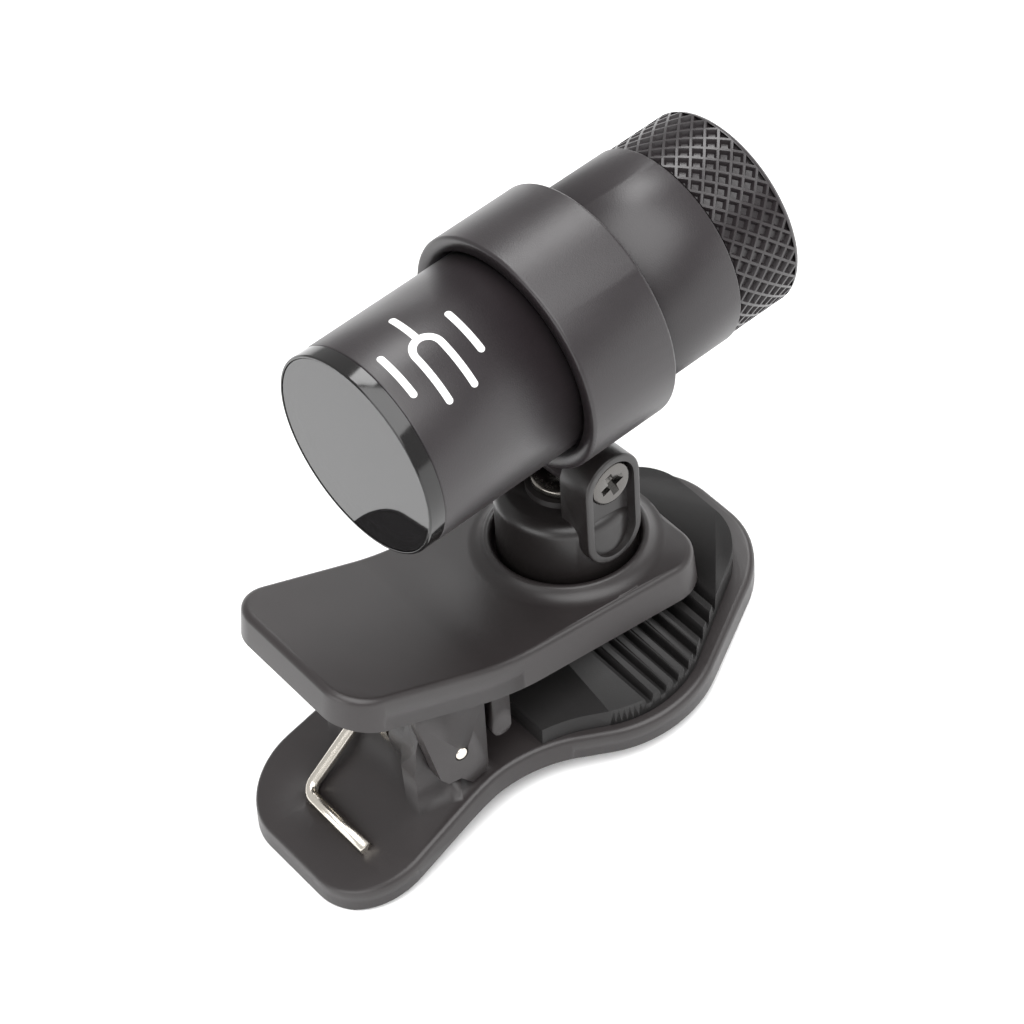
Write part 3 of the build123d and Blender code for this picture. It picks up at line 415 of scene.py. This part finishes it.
tube_start, _, tube_r = reach("front_tube")
MARK_ALONG = tube_start + 0.0068
MARK_TURN = 0.36
PRINT_LINE = 0.00042
PRINT_BLUR = 0.00004
FORK_HALF = 0.0017
FORK_TIP, FORK_ROOT = 0.0052, -0.0004
STEM_TOP, STEM_FOOT = -0.0022, -0.0062
SIDE_BAR = 0.0026
SIDE_BAR_OUT = 0.0046


def tuning_fork(place):
    """Ink of the mark, drawn from the distances to its lines; its x runs round the tube."""
    middle = place.node("ShaderNodeVectorMath", {0: place, 1: barrel_point}, operation="SUBTRACT")
    over_x, over_z, along_tube = (
        place.node("ShaderNodeVectorMath", {0: middle, 1: way}, out="Value", operation="DOT_PRODUCT")
        for way in (across, upward, barrel_axis))
    x = (place.maths("ARCTAN2", over_x, over_z) - MARK_TURN) * tube_r
    y = along_tube - MARK_ALONG

    def bar(start, end, side):
        """Depth inside a round-ended line from start to end along x; above 0 is ink."""
        past = x - place.node("ShaderNodeClamp", {"Value": x, "Min": start, "Max": end})
        off = y - side
        return PRINT_LINE - place.maths("SQRT", past * past + off * off)

    bend_x = x - FORK_ROOT
    bend = PRINT_LINE - place.maths("ABSOLUTE", place.maths("SQRT", bend_x * bend_x + y * y) - FORK_HALF)
    lines = [bar(STEM_FOOT, STEM_TOP, 0.0)]
    lines += [bar(FORK_ROOT, FORK_TIP, side) for side in (-FORK_HALF, FORK_HALF)]
    lines += [bar(-SIDE_BAR, SIDE_BAR, side) for side in (-SIDE_BAR_OUT, SIDE_BAR_OUT)]
    edge = {"From Min": -PRINT_BLUR, "From Max": PRINT_BLUR}
    ink = place.node("ShaderNodeMapRange", {"Value": bend, **edge}) * place.maths("LESS_THAN", bend_x, 0.0)
    for line in lines:
        ink = place.maths("MAXIMUM", ink, place.node("ShaderNodeMapRange", {"Value": line, **edge}))
    return ink


printed_plastic = moulded_plastic("printed_plastic", **TUBE_FINISH, mark=tuning_fork)
skin("front_tube", "barrel", printed_plastic)
skin("rear_tube", "barrel", tube_plastic)

# ---------------------------------------------------------------- bezel and window
# A polished black bezel is pressed into the front tube and holds the smoked acrylic window
# flush with its rim.
BEZEL_LAND = 0.00032
BEZEL_EDGE = 0.00022
WINDOW_GAP = 0.00004
WINDOW_EASE = 0.00008
bezel_face, _, bezel_r = reach("bezel_ring")
window_face, window_back, _ = reach("display_window")
window_r = bezel_r - BEZEL_LAND
pane_r = window_r - WINDOW_GAP


def rounded(along, radius, edge, steps):
    """Points round the outer corner of a turned piece's end, from the end to the side.

    The edge is below 0 at the end that faces the other way.
    """
    turns = [math.radians(90 * step / steps) for step in range(steps + 1)]
    return [(along + edge * (1 - math.cos(turn)), radius - abs(edge) * (1 - math.sin(turn)))
            for turn in turns]


def spun(name, profile, material, steps=180):
    """A turned piece from (along, radius) points, closed on itself, about the barrel's axis."""
    points, faces = [], []
    rows = len(profile)
    for k in range(steps):
        angle = math.tau * k / steps
        outward = across * math.cos(angle) + upward * math.sin(angle)
        points += [barrel_point + barrel_axis * along + outward * radius for along, radius in profile]
        here, there = k * rows, (k + 1) % steps * rows
        faces += [(here + i, here + (i + 1) % rows, there + (i + 1) % rows, there + i) for i in range(rows)]
    mesh = bpy.data.meshes.new(name)
    mesh.from_pydata(points, [], faces)
    work = bmesh.new()
    work.from_mesh(mesh)
    bmesh.ops.remove_doubles(work, verts=work.verts, dist=WELD / 10)
    bmesh.ops.recalc_face_normals(work, faces=work.faces)
    work.to_mesh(mesh)
    work.free()
    mesh.materials.append(material)
    mesh.shade_smooth()
    mesh.set_sharp_from_angle(angle=CREASE)
    piece = bpy.data.objects.new(name, mesh)
    scene.collection.objects.link(piece)
    return piece


bezel_gloss = moulded_plastic("bezel_gloss", (0.0060, 0.0055, 0.0055), roughness=0.11, grain=0.001,
                              depth=0.0000006, gloss_change=0.02)
bezel = spun("bezel_rim", [
    (window_back, window_r), (bezel_face + WINDOW_GAP, window_r),
    *rounded(bezel_face, bezel_r, BEZEL_EDGE, steps=6), (tube_start, bezel_r), (tube_start, window_r)],
    bezel_gloss)
stand_in(bezel, "bezel_ring", "barrel")
smoked, _, place, shader = start_material("smoked_acrylic")
shader.inputs["Roughness"].default_value = 0.03
shader.inputs["IOR"].default_value = 1.66
shader.inputs["Alpha"].default_value = 0.93
feed(shader, "Base Color", tint(noise(place, 0.004), (0.004, 0.004, 0.0045), (0.007, 0.007, 0.0075)))
pane = spun("window_pane", [
    (window_back, 0.0), (window_face, 0.0), (window_face, pane_r - WINDOW_EASE),
    (window_face + WINDOW_EASE, pane_r), (window_back, pane_r)], smoked)
stand_in(pane, "display_window", "barrel")

# ---------------------------------------------------------------- knurled end
# The cap that closes the battery end: moulded plastic with a cross knurl, raised ridges
# round square pits, on a sleeve that turns in the rear tube against an O-ring.
KNURLS_ROUND = 36
KNURL_ROWS = 9
KNURL_DEPTH = 0.00050
KNURL_LENGTH = 0.0082
RIDGE = 0.80
PIT_FLOOR = 0.50
TUBE_GAP = 0.00010
FAR = 1000.0
cap_start, cap_end, cap_r = reach("knurled_cap")
knurl_start = reach("rear_tube")[1] + TUBE_GAP
knurl_end = knurl_start + KNURL_LENGTH
row_step = KNURL_LENGTH / (KNURL_ROWS - 1)


def knurl_tile():
    """One pit of the knurl with half of each ridge round it, middle at the origin, +X outwards."""
    half_turn = math.pi / KNURLS_ROUND
    points = []
    for share, sunk in ((1.0, 0.0), (RIDGE, 0.0), (PIT_FLOOR, KNURL_DEPTH)):
        for turned, along in ((1, 0), (0, 1), (-1, 0), (0, -1)):
            angle = turned * share * half_turn
            radius = cap_r - sunk
            points.append((radius * math.cos(angle), radius * math.sin(angle), along * share * row_step))
    faces = [(8, 9, 10, 11)]
    for ring in (0, 4):
        faces += [(ring + k, ring + (k + 1) % 4, ring + 4 + (k + 1) % 4, ring + 4 + k) for k in range(4)]
    mesh = bpy.data.meshes.new("knurl_tile")
    mesh.from_pydata(points, [], faces)
    return bpy.data.objects.new("knurl_tile", mesh)


def knurl_tree(tile, material):
    """Copies of the tile in staggered rings, cut square at both ends of the knurled band."""
    tree = bpy.data.node_groups.new("cross_knurl", "GeometryNodeTree")
    tree.is_modifier = True
    tree.interface.new_socket("Geometry", in_out="INPUT", socket_type="NodeSocketGeometry")
    for name, kind in (("Round", "Int"), ("Rows", "Int"), ("Row step", "Float"), ("Length", "Float")):
        tree.interface.new_socket(name, in_out="INPUT", socket_type="NodeSocket" + kind)
    tree.interface.new_socket("Geometry", in_out="OUTPUT", socket_type="NodeSocketGeometry")
    draw = Wire(tree)
    around, rows, step, length = (
        draw.node("NodeGroupInput", out=name) for name in ("Round", "Rows", "Row step", "Length"))
    index = draw.node("GeometryNodeInputIndex")
    row = draw.maths("FLOOR", (index + 0.5) / around)
    odd = draw.maths("MODULO", row, 2.0)
    angle = (index - row * around + odd * 0.5) / around * math.tau
    lift = draw.node("ShaderNodeCombineXYZ", {"Z": row * step})
    points = draw.node("GeometryNodePoints", {"Count": around * rows, "Position": lift})
    shape = draw.node("GeometryNodeObjectInfo", {"Object": tile}, out="Geometry")
    turning = draw.node("ShaderNodeCombineXYZ", {"Z": angle})
    turned = draw.node("FunctionNodeEulerToRotation", {"Euler": turning})
    copies = draw.node("GeometryNodeInstanceOnPoints",
                       {"Points": points, "Instance": shape, "Rotation": turned})
    real = draw.node("GeometryNodeRealizeInstances", {"Geometry": copies})
    where = draw.node("GeometryNodeInputPosition")
    above = draw.node("ShaderNodeVectorMath", {0: where, 1: (-FAR, -FAR, 0.0)}, operation="MAXIMUM")
    roof = draw.node("ShaderNodeCombineXYZ", {"X": FAR, "Y": FAR, "Z": length})
    within = draw.node("ShaderNodeVectorMath", {0: above, 1: roof}, operation="MINIMUM")
    cut = draw.node("GeometryNodeSetPosition", {"Geometry": real, "Position": within})
    welded = draw.node("GeometryNodeMergeByDistance", {"Geometry": cut, "Distance": WELD})
    done = draw.node("GeometryNodeSetMaterial", {"Geometry": welded, "Material": material})
    draw.node("NodeGroupOutput", {0: done})
    return tree


cap_plastic = moulded_plastic("cap_plastic", (0.0180, 0.0148, 0.0160), roughness=0.33, grain=0.00016,
                              depth=0.000005)
tile = knurl_tile()
scene.collection.objects.link(tile)
band = bpy.data.objects.new("cap_knurl", bpy.data.meshes.new("cap_knurl"))
scene.collection.objects.link(band)
knurl = band.modifiers.new("cross_knurl", "NODES")
knurl.node_group = knurl_tree(tile, cap_plastic)
knurl_sizes = {"Round": KNURLS_ROUND, "Rows": KNURL_ROWS, "Row step": row_step, "Length": KNURL_LENGTH}
for entry in knurl.node_group.interface.items_tree:
    if entry.name in knurl_sizes:
        knurl[entry.identifier] = knurl_sizes[entry.name]
band.data = settled(band)
stand = Matrix((upward, across, barrel_axis)).transposed().to_4x4()
stand.translation = barrel_point + barrel_axis * knurl_start
band.data.transform(stand)
band.data.shade_flat()
bpy.data.objects.remove(tile)

CAP_EDGE = 0.0008
UNDER_KNURL = 0.0001
SLEEVE_WALL = 0.0012
DISH_RIM = 0.0055
DISH_DEPTH = 0.0003
END_WALL = 0.0015
SLEEVE_MOUTH = 0.0001
floor_r = cap_r - KNURL_DEPTH - UNDER_KNURL
sleeve_r = max(radius for along, radius in map(off_barrel, frame["nodes"]["knurled_cap"].data.vertices)
               if along < cap_start + SLEEVE_MOUTH)
bore_r = sleeve_r - SLEEVE_WALL
cap = spun("cap_body", [
    (cap_start, bore_r), (cap_start, sleeve_r), (knurl_start, sleeve_r), (knurl_start, floor_r),
    (knurl_end, floor_r), (knurl_end, cap_r), *reversed(rounded(cap_end, cap_r, -CAP_EDGE, steps=9)),
    (cap_end, DISH_RIM), (cap_end - DISH_DEPTH, DISH_RIM - DISH_DEPTH), (cap_end - DISH_DEPTH, 0.0),
    (cap_end - END_WALL, 0.0), (cap_end - END_WALL, bore_r)], cap_plastic)
for piece in (band, cap):
    stand_in(piece, "knurled_cap", "cap")
skin("o_ring", "cap", pad_rubber)
skin("switch_ring", "cap", nickel)
soft_foam = moulded_plastic("pressure_foam", (0.05, 0.05, 0.054), roughness=0.9, grain=0.0006, depth=0.00006)
skin("cell_pressure_pad", "cap", soft_foam)
